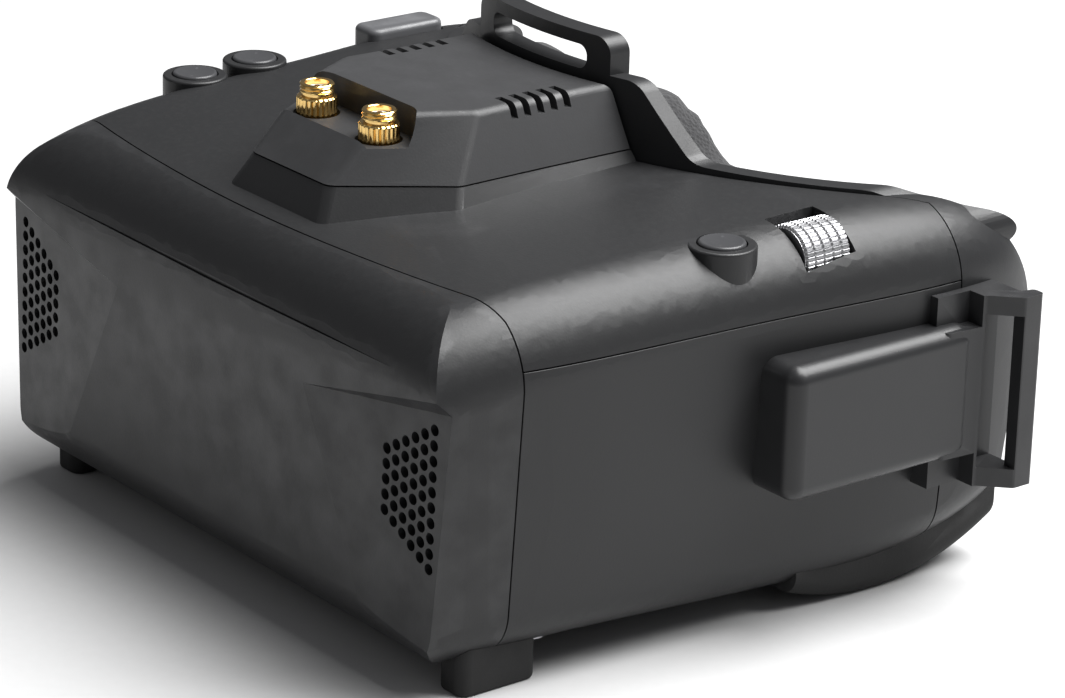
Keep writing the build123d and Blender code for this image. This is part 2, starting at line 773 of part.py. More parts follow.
def strap_bracket():
    """A pad screwed to the side wall, with an upright bar that the strap passes round."""
    pad = block(body_half_width - 15, pad_x, pad_front_y, pad_rear_y, pad_low_z, pad_high_z)
    edges = pad.edges().filter_by(Axis.X) + pad.faces().sort_by(Axis.X)[-1].edges()
    pad = fillet(edges, pad_edge_radius)
    bar_y1 = strap_bar_y + strap_bar_deep
    bar_x0 = strap_bar_outer_x - strap_bar_thick
    bar = block(bar_x0, strap_bar_outer_x, strap_bar_y, bar_y1, loop_low_z, loop_high_z)
    bar = fillet(bar.edges().filter_by(Axis.Z), 1.2)
    slot_y = strap_bar_y - strap_slot
    foot = [(body_half_width - 8, pad_rear_y - 7), (pad_x - 0.6, pad_rear_y - 7), (pad_x, slot_y),
            (strap_bar_outer_x, strap_bar_y), (strap_bar_outer_x, bar_y1), (bar_x0, bar_y1),
            (bar_x0 - 0.4, strap_bar_y + 1.8), (body_half_width - 8, strap_bar_y + 1.8)]
    outline = FilletPolyline(*foot, radius=0.9, close=True)
    web = extrude(Plane.XY.offset(loop_low_z) * make_face(outline), loop_high_z - loop_low_z)
    plate_x = body_half_width + strap_plate
    tab_low, tab_high = loop_low_z + strap_tab, loop_high_z - strap_tab
    web -= block(plate_x, 120, slot_y, strap_bar_y, tab_low, tab_high)
    web -= block(plate_x, bar_x0, strap_bar_y - 0.1, 120, tab_low, tab_high)
    web -= block(plate_x, 120, 0, slot_y - 0.6, pad_high_z - 0.5, 120)
    web -= block(plate_x, 120, 0, slot_y - 0.6, 0, pad_low_z + 0.5)
    bracket = (pad + web + bar) - outer
    for y in bracket_screw_y:
        bracket -= along_x(screw_radius, 0, wall_x(outer, y, bracket_screw_z) + bracket_screw_length - wall,
                           y, bracket_screw_z)
    return bracket


def bracket_screws():
    """Pan-head screws from inside the housing into the two brackets."""
    screws = []
    for y in bracket_screw_y:
        seat = wall_x(inner, y - screw_head_radius, bracket_screw_z - screw_head_radius)
        tip = wall_x(outer, y, bracket_screw_z) + bracket_screw_length - wall
        screw = along_x(screw_head_radius, seat - screw_head_height, seat, y, bracket_screw_z)
        screw += along_x(screw_radius, seat - 0.1, tip, y, bracket_screw_z)
        screws += [screw, other_side(screw)]
    return Compound(children=screws)


def housing_screws():
    """Screws from below that hold the lower housing to the top cover's posts."""
    screws = []
    for x, y in post_points:
        seat = body_base + screw_sink
        screw = along_z(screw_head_radius, x, y, seat - screw_head_height, seat)
        screw += along_z(screw_radius, x, y, seat - 0.1, seat + screw_length)
        screw -= block(x - 1.6, x + 1.6, y - 0.3, y + 0.3, seat - 3, seat - 1.0)
        screw -= block(x - 0.3, x + 0.3, y - 1.6, y + 1.6, seat - 3, seat - 1.0)
        screws += [screw, other_side(screw)]
    return Compound(children=screws)


# ---- feet ------------------------------------------------------------------------------
def front_foot():
    half_x = foot_width / 2
    half_y = foot_length / 2
    foot = block(front_foot_x - half_x, front_foot_x + half_x, front_foot_y - half_y,
                 front_foot_y + half_y, 0, 20)
    foot = fillet(foot.edges().filter_by(Axis.Z), foot_corner)
    foot = fillet(foot.faces().sort_by(Axis.Z)[0].edges(), 0.8)
    return foot - outer


def cheek_rest():
    """The long rubber rest under the rear corner, curved like a rocker."""
    frame = Plane(origin=(rest_x[0], 0, 0), x_dir=(0, 1, 0), z_dir=(1, 0, 0))
    roof = body_base + 14
    outline = [
        ThreePointArc(rest_front, rest_low, rest_rear),
        Polyline(rest_rear, (rest_rear[0], roof), (rest_front[0], roof), rest_front),
    ]
    rest = extrude(frame * make_face(outline), rest_x[1] - rest_x[0])
    low_edges = [e for e in rest.edges() if e.length > 30 and (e @ 0.5).Z < body_base]
    rest = fillet(low_edges, rest_edge)
    rest -= block(0, 120, 0, 100, -5, 0)
    return rest - outer


# ---- optics and electronics ------------------------------------------------------------
def lens():
    y0 = lens_y - lens_thickness / 2
    plate = block(-lens_half, lens_half, y0, y0 + lens_thickness, *lens_z)
    return fillet(plate.edges().filter_by(Axis.Y), 6.0)


def lens_frame():
    half = lens_frame_thickness / 2
    frame = inner & block(-lens_frame_half, lens_frame_half, lens_y - half, lens_y + half, 0, 140)
    rebate = lens_thickness / 2 + lens_clearance
    low, high = lens_z
    reach = lens_half + lens_clearance
    seat = block(-reach, reach, lens_y - rebate, lens_y + half + 1, low - lens_clearance, high + lens_clearance)
    window = block(-lens_half + lens_ledge, lens_half - lens_ledge, -60, 60, low + lens_ledge, high - lens_ledge)
    frame -= fillet(seat.edges().filter_by(Axis.Y), 6.0)
    return frame - fillet(window.edges().filter_by(Axis.Y), 4.0)


def box_section(half, low, high, y, inset=0.0):
    """An upright rectangle at y, for the light hood."""
    frame = Plane(origin=(0, y, (low + high) / 2), x_dir=(1, 0, 0), z_dir=(0, 1, 0))
    return frame * make_face(Rectangle(2 * (half - inset), high - low - 2 * inset))


def light_hood():
    """The black tunnel that keeps stray light off the display."""
    rear = lens_y - lens_frame_thickness / 2
    outside = loft([box_section(*hood_front, display_y), box_section(*hood_rear, rear)], ruled=True)
    inside = loft(
        [box_section(*hood_front, display_y, hood_wall), box_section(*hood_rear, rear, hood_wall)],
        ruled=True,
    )
    return outside - inside


def display_panel():
    return block(-display_half, display_half, display_y - display_thickness, display_y, *display_z)


def display_tray():
    y1 = display_y - display_thickness
    y0 = y1 - tray_thickness
    tray = inner & block(-tray_half, tray_half, y0, y1, 0, display_z[1] + 1)
    for x, z in spacer_points():
        tray += along_y(spacer_radius, x, board_y, y0 + 0.1, z)
    return tray


def spacer_points():
    """Where the main board is held, in front view."""
    x = board_half - 3
    return [(i * x, z) for i in (-1, 1) for z in (board_z[0] + 3, board_z[1] - 3)]


def main_board():
    board = block(-board_half, board_half, board_y - board_thickness, board_y, *board_z)
    return fillet(board.edges().filter_by(Axis.Y), 2.0)


def board_chips():
    """The larger components on the front of the main board."""
    y1 = board_y - board_thickness
    places = [(-24, 20, 10, 8), (-24, 48, 7, 7), (22, 20, 12, 6), (24, 50, 8, 8), (0, 52, 9, 5), (-8, 18, 6, 4)]
    chips = [block(x - w / 2, x + w / 2, y1 - chip_height, y1, z - h / 2, z + h / 2) for x, z, w, h in places]
    return Compound(children=chips)


def heat_sink():
    y1 = board_y - board_thickness
    z = sum(board_z) / 2
    half = sink_size / 2
    sink = block(-half, half, y1 - 2.0, y1, z - half, z + half)
    pitch = (sink_size - 1.2) / (sink_fins - 1)
    for index in range(sink_fins):
        x = -half + index * pitch
        sink += block(x, x + 1.2, y1 - sink_height, y1 - 1.9, z - half, z + half)
    return sink


def fan_housing():
    half = fan_size / 2
    rear = fan_front_y + fan_thickness
    body = block(fan_x - half, fan_x + half, fan_front_y, rear, vent_centre_z - half, vent_centre_z + half)
    body = fillet(body.edges().filter_by(Axis.Y), 2.0)
    body -= along_y(fan_duct_radius, fan_x, fan_front_y - 1, rear - 1.0, vent_centre_z)
    window = along_y(fan_duct_radius, fan_x, rear - 1.5, rear + 1, vent_centre_z)
    window -= along_y(fan_hub_radius, fan_x, rear - 1.5, rear + 1, vent_centre_z)
    window -= block(fan_x - 20, fan_x + 20, rear - 3, rear + 3, vent_centre_z - 1, vent_centre_z + 1)
    window -= block(fan_x - 1, fan_x + 1, rear - 3, rear + 3, vent_centre_z - 20, vent_centre_z + 20)
    body -= window
    return body + along_y(fan_shaft_radius, fan_x, fan_front_y + 1.6, rear - 0.5, vent_centre_z)


def fan_rotor():
    y0 = fan_front_y + 0.6
    y1 = fan_front_y + fan_thickness - 1.6
    rotor = along_y(fan_hub_radius, fan_x, y0, y1, vent_centre_z)
    for index in range(fan_blades):
        blade = block(fan_hub_radius - 0.6, fan_rotor_radius, y0 + 1.5, y0 + 2.3, -2.6, 2.6)
        blade = Rot(32, 0, 0) * Pos(0, -y0 - 1.9, 0) * blade
        turned = Rot(0, 360 * index / fan_blades, 0) * blade
        rotor += Pos(fan_x, (y0 + y1) / 2, vent_centre_z) * turned
    return rotor - along_y(fan_shaft_radius + fan_shaft_play, fan_x, y0 + 0.8, y1 + 1, vent_centre_z)


def socket(place, nose, bore, pin):
    """A round socket behind a hole in the far side wall, soldered to its own small board."""
    y, z = place
    face = -wall_x(outer, y, z)
    half = socket_body / 2
    body = along_x(nose, face, face + 4.0, y, z)
    body += block(face + wall + 1.2, face + socket_depth + 2, y - half, y + half, z - half, z + half)
    body -= along_x(bore, face - 1, face + socket_depth, y, z)
    if pin:
        body += along_x(pin, face + 1.0, face + socket_depth + 1, y, z)
    return body


def power_jack():
    return socket(power_socket, power_nose_radius, power_bore_radius, power_pin_radius)


def audio_jack():
    return socket(audio_socket, audio_nose_radius, audio_bore_radius, 0)


# ---- write every piece -----------------------------------------------------------------
pieces = {
    "front_cover": front_cover(),
    "top_cover": top_cover(),
    "lower_housing": lower_housing(),
    "rear_frame": rear_frame(),
    "foam_pad": foam_pad(),
    "receiver_cover": receiver_cover(),
    "receiver_board": receiver_board(),
    "receiver_shield": receiver_shield(),
    "antenna_socket_left": antenna_socket(1),
    "antenna_socket_right": antenna_socket(-1),
    "strap_bracket_left": strap_bracket(),
    "strap_bracket_right": other_side(strap_bracket()),
    "bracket_screws": bracket_screws(),
    "housing_screws": housing_screws(),
    "front_foot_left": front_foot(),
    "front_foot_right": other_side(front_foot()),
    "cheek_rest_left": cheek_rest(),
    "cheek_rest_right": other_side(cheek_rest()),
    "dial_wheel": dial_wheel(),
    "dial_holder": dial_holder(),
    "rocker_key": rocker_key(),
    "rocker_pin": rocker_pin(),
    "button_board_left": left_button_board(),
    "button_board_right": right_button_board(),
    "lens": lens(),
    "lens_frame": lens_frame(),
    "light_hood": light_hood(),
    "display_panel": display_panel(),
    "display_tray": display_tray(),
    "main_board": main_board(),
    "board_chips": board_chips(),
    "heat_sink": heat_sink(),
    "fan_housing": fan_housing(),
    "fan_rotor": fan_rotor(),
    "power_jack": power_jack(),
    "audio_jack": audio_jack(),
}
for name, x, y, rim_z in button_places():
    pieces[name] = button(x, y, rim_z)

os.makedirs("parts", exist_ok=True)
for name, solid in pieces.items():
    export_step(solid, f"parts/{name}.step")
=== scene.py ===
import math

import bmesh
import bpy
import numpy as np
from mathutils import Matrix, Vector


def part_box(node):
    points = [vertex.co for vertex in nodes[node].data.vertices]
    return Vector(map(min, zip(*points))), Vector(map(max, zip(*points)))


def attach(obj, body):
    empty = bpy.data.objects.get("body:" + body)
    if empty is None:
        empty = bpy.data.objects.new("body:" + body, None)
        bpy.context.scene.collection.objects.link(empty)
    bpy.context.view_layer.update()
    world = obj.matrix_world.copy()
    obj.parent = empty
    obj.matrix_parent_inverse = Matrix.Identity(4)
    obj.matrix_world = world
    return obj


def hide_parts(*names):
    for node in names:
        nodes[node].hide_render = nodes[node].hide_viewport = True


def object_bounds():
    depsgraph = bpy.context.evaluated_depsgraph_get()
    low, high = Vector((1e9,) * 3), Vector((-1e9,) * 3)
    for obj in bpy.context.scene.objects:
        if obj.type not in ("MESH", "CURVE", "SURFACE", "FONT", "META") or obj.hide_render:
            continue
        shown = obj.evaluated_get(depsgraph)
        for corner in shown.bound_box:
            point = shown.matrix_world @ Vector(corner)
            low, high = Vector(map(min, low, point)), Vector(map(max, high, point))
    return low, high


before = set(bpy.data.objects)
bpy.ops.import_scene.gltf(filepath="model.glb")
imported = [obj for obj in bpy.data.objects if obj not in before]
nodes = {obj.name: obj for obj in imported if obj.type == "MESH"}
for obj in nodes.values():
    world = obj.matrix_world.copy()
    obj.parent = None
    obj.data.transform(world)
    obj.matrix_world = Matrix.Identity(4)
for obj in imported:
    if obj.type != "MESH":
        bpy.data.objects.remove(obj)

cad_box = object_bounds()
mm = 0.001


# ---- the charcoal mouldings --------------------------------------------------------------
# Front cover, top cover and lower housing are injection-moulded ABS from tools with a fine
# spark-eroded grain, screwed together from below with a thin even groove at each seam. The
# corners that hands meet are rubbed smooth.
shell_colour = (0.0130, 0.0132, 0.0139)
shell_roughness = 0.43
shell_edge = 0.35 * mm
front_rim = 1.6 * mm
grain_pitch = 0.42 * mm
grain_depth = 0.018 * mm
rubbed_colour = (0.30, 0.30, 0.31, 1.0)
dust_colour = (0.45, 0.44, 0.42, 1.0)
plastic_shine = 0.36
merge_distance = 0.002 * mm
flat_angle = 0.4
edge_angle = 12.0
rim_angle = 40.0
rim_band = 0.05 * mm


def place(tree, kind, inputs=None, **settings):
    """Adds a shader node, sets its properties and gives its inputs values or links."""
    node = tree.nodes.new(kind)
    for key, value in settings.items():
        setattr(node, key, value)
    for key, value in (inputs or {}).items():
        if isinstance(value, bpy.types.NodeSocket):
            tree.links.new(value, node.inputs[key])
        else:
            node.inputs[key].default_value = value
    return node


def effect(name, inputs, outputs):
    """A new shader node group: its tree and the sockets inside that carry its inputs."""
    tree = bpy.data.node_groups.new(name, "ShaderNodeTree")
    for socket, kind, default in inputs:
        item = tree.interface.new_socket(socket, in_out="INPUT", socket_type=kind)
        if default is not None:
            item.default_value = default
    for socket, kind in outputs:
        tree.interface.new_socket(socket, in_out="OUTPUT", socket_type=kind)
    return tree, tree.nodes.new("NodeGroupInput").outputs, tree.nodes.new("NodeGroupOutput").inputs


def maths(tree, operation, a, b=0.5, clamp=False):
    """One sum on two numbers or sockets."""
    return place(tree, "ShaderNodeMath", {0: a, 1: b}, operation=operation, use_clamp=clamp).outputs[0]


def grain_effect():
    """Spark-eroded tool grain: fine noise plus round cells, and a slow drift of tone."""
    tree, given, put = effect(
        "tool_grain",
        [("Vector", "NodeSocketVector", None), ("Pitch", "NodeSocketFloat", 0.0004)],
        [("Height", "NodeSocketFloat"), ("Drift", "NodeSocketFloat")],
    )
    scale = maths(tree, "DIVIDE", 1.0, given["Pitch"])
    fine = place(tree, "ShaderNodeTexNoise", {"Vector": given["Vector"], "Scale": scale, "Detail": 3.0})
    cells = place(tree, "ShaderNodeTexVoronoi", {"Vector": given["Vector"], "Scale": scale})
    slow = place(tree, "ShaderNodeTexNoise", {"Vector": given["Vector"], "Scale": 26.0, "Detail": 4.0})
    height = maths(tree, "ADD", maths(tree, "MULTIPLY", fine.outputs["Fac"], 0.7),
                   maths(tree, "MULTIPLY", cells.outputs["Distance"], 0.3))
    tree.links.new(height, put["Height"])
    tree.links.new(slow.outputs["Fac"], put["Drift"])
    return tree


def rub_effect():
    """Where hands polish a part: convex edges, broken up by a patchy noise."""
    tree, given, put = effect(
        "rubbed_edges", [("Vector", "NodeSocketVector", None)], [("Mask", "NodeSocketFloat")]
    )
    form = place(tree, "ShaderNodeNewGeometry")
    edge = place(tree, "ShaderNodeMapRange", {"Value": form.outputs["Pointiness"], "From Min": 0.51,
                                              "From Max": 0.60})
    patch = place(tree, "ShaderNodeTexNoise", {"Vector": given["Vector"], "Scale": 160.0, "Detail": 5.0})
    broken = place(tree, "ShaderNodeMapRange", {"Value": patch.outputs["Fac"], "From Min": 0.35,
                                                "From Max": 0.7})
    tree.links.new(maths(tree, "MULTIPLY", edge.outputs[0], broken.outputs[0], True), put["Mask"])
    return tree


def dust_effect():
    """Fine dust: it settles on what faces up, and gathers in a patchy way."""
    tree, given, put = effect(
        "settled_dust", [("Vector", "NodeSocketVector", None)], [("Mask", "NodeSocketFloat")]
    )
    form = place(tree, "ShaderNodeNewGeometry")
    parts = place(tree, "ShaderNodeSeparateXYZ", {"Vector": form.outputs["Normal"]})
    upward = place(tree, "ShaderNodeMapRange", {"Value": parts.outputs["Z"], "From Min": 0.2})
    specks = place(tree, "ShaderNodeTexNoise", {"Vector": given["Vector"], "Scale": 900.0, "Detail": 6.0})
    patchy = place(tree, "ShaderNodeMapRange", {"Value": specks.outputs["Fac"], "From Min": 0.45,
                                                "From Max": 0.75})
    tree.links.new(maths(tree, "MULTIPLY", upward.outputs[0], patchy.outputs[0], True), put["Mask"])
    return tree


tool_grain = grain_effect()
rubbed_edges = rub_effect()
settled_dust = dust_effect()


def new_material(name):
    """An empty material: its tree, its main shader and its object coordinates."""
    material = bpy.data.materials.new(name)
    material.use_nodes = True
    tree = material.node_tree
    tree.nodes.clear()
    shader = place(tree, "ShaderNodeBsdfPrincipled")
    place(tree, "ShaderNodeOutputMaterial", {"Surface": shader.outputs[0]})
    where = place(tree, "ShaderNodeTexCoord").outputs["Object"]
    return material, tree, shader, where


def mixed(tree, factor, a, b):
    """One colour turning into another."""
    node = place(tree, "ShaderNodeMix", data_type="RGBA")
    for socket, value in ((node.inputs[0], factor), (node.inputs[6], a), (node.inputs[7], b)):
        if isinstance(value, bpy.types.NodeSocket):
            tree.links.new(value, socket)
        else:
            socket.default_value = value
    return node.outputs[2]


def opaque(colour, factor):
    """A colour, made lighter or darker, with full alpha."""
    return tuple(min(1.0, c * factor) for c in colour) + (1.0,)


def rough_between(tree, shader, value, low, high):
    """The shader's roughness, which runs from low to high as the value goes from 0 to 1."""
    rough = place(tree, "ShaderNodeMapRange", {"Value": value, "To Min": low, "To Max": high})
    tree.links.new(rough.outputs[0], shader.inputs["Roughness"])


def embossed(tree, shader, height, strength, distance):
    """Tilts the shader's normal by a height pattern of the given depth."""
    bump = place(tree, "ShaderNodeBump", {"Height": height, "Strength": strength, "Distance": distance})
    tree.links.new(bump.outputs[0], shader.inputs["Normal"])


def moulded_plastic(name, colour, roughness, pitch=grain_pitch, depth=grain_depth, rub=0.04, dust=0.008):
    """Grained plastic: colour drifts a little, rubbed edges are paler and shinier.

    Roughness is roughness - 0.07 + 0.04 * drift + 0.10 * grain - 0.12 * rubbed.
    """
    material, tree, shader, where = new_material(name)
    grain = place(tree, "ShaderNodeGroup", node_tree=tool_grain)
    rubbed = place(tree, "ShaderNodeGroup", node_tree=rubbed_edges)
    dusty = place(tree, "ShaderNodeGroup", node_tree=settled_dust)
    for group in (grain, rubbed, dusty):
        tree.links.new(where, group.inputs["Vector"])
    grain.inputs["Pitch"].default_value = pitch
    rub_mask = rubbed.outputs["Mask"]
    base = mixed(tree, grain.outputs["Drift"], opaque(colour, 0.96), opaque(colour, 1.05))
    base = mixed(tree, maths(tree, "MULTIPLY", rub_mask, rub), base, rubbed_colour)
    base = mixed(tree, maths(tree, "MULTIPLY", dusty.outputs["Mask"], dust), base, dust_colour)
    tree.links.new(base, shader.inputs["Base Color"])
    drifted = maths(tree, "MULTIPLY_ADD", grain.outputs["Drift"], 0.04)
    drifted.node.inputs[2].default_value = roughness - 0.02
    grained = maths(tree, "MULTIPLY_ADD", grain.outputs["Height"], 0.10)
    tree.links.new(maths(tree, "SUBTRACT", drifted, maths(tree, "MULTIPLY", rub_mask, 0.12)),
                   grained.node.inputs[2])
    tree.links.new(maths(tree, "SUBTRACT", grained, 0.05, True), shader.inputs["Roughness"])
    shader.inputs["Specular IOR Level"].default_value = plastic_shine
    embossed(tree, shader, grain.outputs["Height"], 0.8, depth)
    return material


def eased(node, material, body="casing", edge=shell_edge, corner=edge_angle, rim=0.0):
    """A moulding as it leaves the tool: the node's own shape, merged, its sharp edges rounded.

    Edges that turn by more than corner degrees are rounded by edge. A rim radius rounds the
    outline of the foremost face more than that.
    """
    mesh = nodes[node].data.copy()
    form = bmesh.new()
    form.from_mesh(mesh)
    bmesh.ops.remove_doubles(form, verts=form.verts, dist=merge_distance)
    bmesh.ops.dissolve_degenerate(form, edges=form.edges, dist=merge_distance)
    bmesh.ops.dissolve_limit(form, verts=form.verts, edges=form.edges,
                             angle_limit=math.radians(flat_angle))
    foremost = min(vert.co.y for vert in form.verts) + rim_band
    weights = form.edges.layers.float.new("bevel_weight_edge")
    for line in form.edges:
        at_front = all(vert.co.y < foremost for vert in line.verts)
        if rim and at_front and line.calc_face_angle(0.0) > math.radians(rim_angle):
            line[weights] = 1.0
    form.to_mesh(mesh)
    form.free()
    mesh.shade_smooth()
    mesh.set_sharp_from_angle(angle=math.radians(corner))
    mesh.materials.clear()
    mesh.materials.append(material)
    piece = bpy.data.objects.new(node + "_moulding", mesh)
    bpy.context.scene.collection.objects.link(piece)
    if rim:
        rounding = piece.modifiers.new("rounded_rim", "BEVEL")
        rounding.width = rim
        rounding.segments = 5
        rounding.limit_method = "WEIGHT"
        rounding.use_clamp_overlap = True
    bevel = piece.modifiers.new("eased_edges", "BEVEL")
    bevel.width = edge
    bevel.segments = 2
    bevel.limit_method = "ANGLE"
    bevel.angle_limit = math.radians(corner)
    bevel.miter_outer = "MITER_ARC"
    bevel.use_clamp_overlap = True
    levelled = piece.modifiers.new("levelled_normals", "WEIGHTED_NORMAL")
    levelled.keep_sharp = True
    levelled.weight = 80
    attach(piece, body)
    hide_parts(node)


shell_plastic = moulded_plastic("charcoal_shell", shell_colour, shell_roughness)
eased("front_cover", shell_plastic, rim=front_rim)
for name in ("top_cover", "lower_housing"):
    eased(name, shell_plastic)


# ---- the face frame ----------------------------------------------------------------------
# The rear frame carries the foam and the top strap loop. It is a darker, slightly finer
# moulding that pushes into the rear of the two housings and is held by lips.
frame_plastic = moulded_plastic("face_frame_plastic", (0.0145, 0.0147, 0.0155), 0.40, 0.36 * mm)
eased("rear_frame", frame_plastic)


# ---- the foam ----------------------------------------------------------------------------
# A cut pad of soft open-cell foam, glued by its front to the frame's curved flange. Its rim is
# crushed round by the cutter, and the rest of it swells a little.
foam_voxel = 3.0 * mm
foam_swell = 1.2 * mm
foam_start = 0.9 * mm
foam_frames = 20
foam_pressure = 4.0
glued_share = 0.02


def foam_material():
    """Black foam: open cells of two sizes, with a short matt nap, and painted shade in the hollow of each
    cell.
    """
    material, tree, shader, where = new_material("black_foam")
    cells = place(tree, "ShaderNodeTexVoronoi", {"Vector": where, "Scale": 1400.0})
    pores = place(tree, "ShaderNodeTexNoise", {"Vector": where, "Scale": 3200.0, "Detail": 4.0})
    drift = place(tree, "ShaderNodeTexNoise", {"Vector": where, "Scale": 40.0, "Detail": 3.0})
    height = maths(tree, "ADD", cells.outputs["Distance"],
                   maths(tree, "MULTIPLY", pores.outputs["Fac"], 0.6))
    base = mixed(tree, drift.outputs["Fac"], (0.010, 0.010, 0.011, 1.0), (0.024, 0.024, 0.026, 1.0))
    # Painted shade: the colour is darkened towards the centre of each cell, where its hollow lies, down to
    # 0.35 at the deepest.
    deep = place(tree, "ShaderNodeMapRange", {"Value": cells.outputs["Distance"], "From Max": 0.6,
                                              "To Min": 0.35})
    dark = place(tree, "ShaderNodeMix", {0: 1.0}, data_type="RGBA", blend_type="MULTIPLY")
    tree.links.new(base, dark.inputs[6])
    tree.links.new(deep.outputs[0], dark.inputs[7])
    tree.links.new(dark.outputs[2], shader.inputs["Base Color"])
    rough_between(tree, shader, pores.outputs["Fac"], 0.86, 0.98)
    shader.inputs["Sheen Weight"].default_value = 0.25
    shader.inputs["Sheen Roughness"].default_value = 0.55
    embossed(tree, shader, height, 0.9, 0.22 * mm)
    return material


def remeshed(source, name, voxel):
    """An even quad skin round a closed mesh."""
    mesh = source.copy()
    form = bmesh.new()
    form.from_mesh(mesh)
    bmesh.ops.remove_doubles(form, verts=form.verts, dist=merge_distance)
    form.to_mesh(mesh)
    form.free()
    piece = bpy.data.objects.new(name, mesh)
    bpy.context.scene.collection.objects.link(piece)
    remesh = piece.modifiers.new("skin", "REMESH")
    remesh.mode = "VOXEL"
    remesh.voxel_size = voxel
    bpy.context.view_layer.update()
    skin = bpy.data.meshes.new_from_object(piece.evaluated_get(bpy.context.evaluated_depsgraph_get()))
    piece.modifiers.clear()
    piece.data = skin
    return piece


def points_of(mesh):
    """A mesh's vertices as rows of x, y, z."""
    flat = np.empty(3 * len(mesh.vertices))
    mesh.vertices.foreach_get("co", flat)
    return flat.reshape(-1, 3)


def foam():
    """The pad, remeshed evenly, drawn in along its normals by foam_start, and then swelled.

    Cloth pressure moves every point but the glued ones, each by foam_swell at most.
    """
    piece = remeshed(nodes["foam_pad"].data, "face_foam", foam_voxel)
    rest = points_of(piece.data)
    directions = np.empty(3 * len(piece.data.vertices))
    piece.data.vertices.foreach_get("normal", directions)
    slim = rest - directions.reshape(-1, 3) * foam_start
    piece.data.vertices.foreach_set("co", slim.ravel())
    final = slim
    glued = piece.vertex_groups.new(name="glued")
    front = slim[:, 1] < np.quantile(slim[:, 1], glued_share)
    glued.add(np.flatnonzero(front).tolist(), 1.0, "REPLACE")
    cloth = piece.modifiers.new("swell", "CLOTH")
    cloth.settings.use_pressure = True
    cloth.settings.uniform_pressure_force = foam_pressure
    cloth.settings.vertex_group_mass = "glued"
    cloth.settings.effector_weights.gravity = 0.0
    cloth.point_cache.frame_end = foam_frames
    for step in range(1, foam_frames + 1):
        bpy.context.scene.frame_set(step)
    swelled = bpy.data.meshes.new_from_object(
        piece.evaluated_get(bpy.context.evaluated_depsgraph_get()))
    moved = points_of(swelled) - slim
    length = np.linalg.norm(moved, axis=1, keepdims=True)
    final = slim + moved * np.minimum(1.0, foam_swell / np.maximum(length, 1e-9))
    piece.modifiers.clear()
    bpy.context.scene.frame_set(1)
    piece.data.vertices.foreach_set("co", final.ravel())
    piece.data.update()
    piece.data.shade_smooth()
    piece.data.materials.clear()
    piece.data.materials.append(foam_material())
    smooth = piece.modifiers.new("even", "SUBSURF")
    smooth.levels = 1
    smooth.render_levels = 1
    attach(piece, "casing")
    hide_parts("foam_pad")


foam()


# ---- the receiver bay --------------------------------------------------------------------
# The bay's lid is one charcoal moulding that snaps on the raised foot of the top cover. The
# board under it has green solder mask with gold-plated pads, and a folded shield of tinned
# sheet. The other boards are of the same kind.
bay_plastic = moulded_plastic("bay_lid_plastic", (0.030, 0.0303, 0.0315), 0.46)
eased("receiver_cover", bay_plastic, "receiver_cover", 0.45 * mm)


def circuit_board(name):
    """Solder mask over copper tracks: a grid of straight runs, with plated dots."""
    material, tree, shader, where = new_material(name)
    tracks = place(tree, "ShaderNodeTexBrick", {"Vector": where, "Scale": 90.0, "Mortar Size": 0.03,
                                                "Color1": (0, 0, 0, 1), "Color2": (0, 0, 0, 1),
                                                "Mortar": (1, 1, 1, 1)})
    dots = place(tree, "ShaderNodeTexVoronoi", {"Vector": where, "Scale": 420.0})
    plated = place(tree, "ShaderNodeMapRange", {"Value": dots.outputs["Distance"], "From Min": 0.12,
                                                "From Max": 0.16, "To Min": 1.0, "To Max": 0.0})
    base = mixed(tree, tracks.outputs["Color"], (0.006, 0.055, 0.028, 1.0), (0.012, 0.11, 0.05, 1.0))
    base = mixed(tree, plated.outputs[0], base, (0.75, 0.52, 0.2, 1.0))
    tree.links.new(base, shader.inputs["Base Color"])
    tree.links.new(plated.outputs[0], shader.inputs["Metallic"])
    smear = place(tree, "ShaderNodeTexNoise", {"Vector": where, "Scale": 300.0})
    rough_between(tree, shader, smear.outputs["Fac"], 0.22, 0.4)
    embossed(tree, shader, tracks.outputs["Fac"], 0.5, 0.03 * mm)
    return material


def worked_metal(name, colour, roughness, stretch, scale=600.0, depth=0.01 * mm):
    """Metal with fine drawn or ground lines along one direction."""
    material, tree, shader, where = new_material(name)
    along = place(tree, "ShaderNodeMapping", {"Vector": where, "Scale": stretch})
    lines = place(tree, "ShaderNodeTexNoise", {"Vector": along.outputs[0], "Scale": scale, "Detail": 5.0})
    cloud = place(tree, "ShaderNodeTexNoise", {"Vector": where, "Scale": 60.0, "Detail": 3.0})
    rubbed = place(tree, "ShaderNodeGroup", {"Vector": where}, node_tree=rubbed_edges)
    base = mixed(tree, cloud.outputs["Fac"], opaque(colour, 0.86), opaque(colour, 1.08))
    base = mixed(tree, maths(tree, "MULTIPLY", rubbed.outputs["Mask"], 0.5), base, opaque(colour, 1.35))
    tree.links.new(base, shader.inputs["Base Color"])
    shader.inputs["Metallic"].default_value = 1.0
    rough_between(tree, shader, lines.outputs["Fac"], roughness - 0.08, roughness + 0.12)
    embossed(tree, shader, lines.outputs["Fac"], 0.5, depth)
    return material


def finish_node(material, *names):
    """Gives CAD pieces whose shape is already right their real finish."""
    for name in names:
        nodes[name].data.materials.clear()
        nodes[name].data.materials.append(material)


board_green = circuit_board("green_board")
sheet_tin = worked_metal("tinned_sheet", (0.66, 0.66, 0.65), 0.3, (1.0, 12.0, 12.0))
finish_node(board_green, "receiver_board", "main_board", "button_board_left", "button_board_right")
eased("receiver_shield", sheet_tin, edge=0.2 * mm)


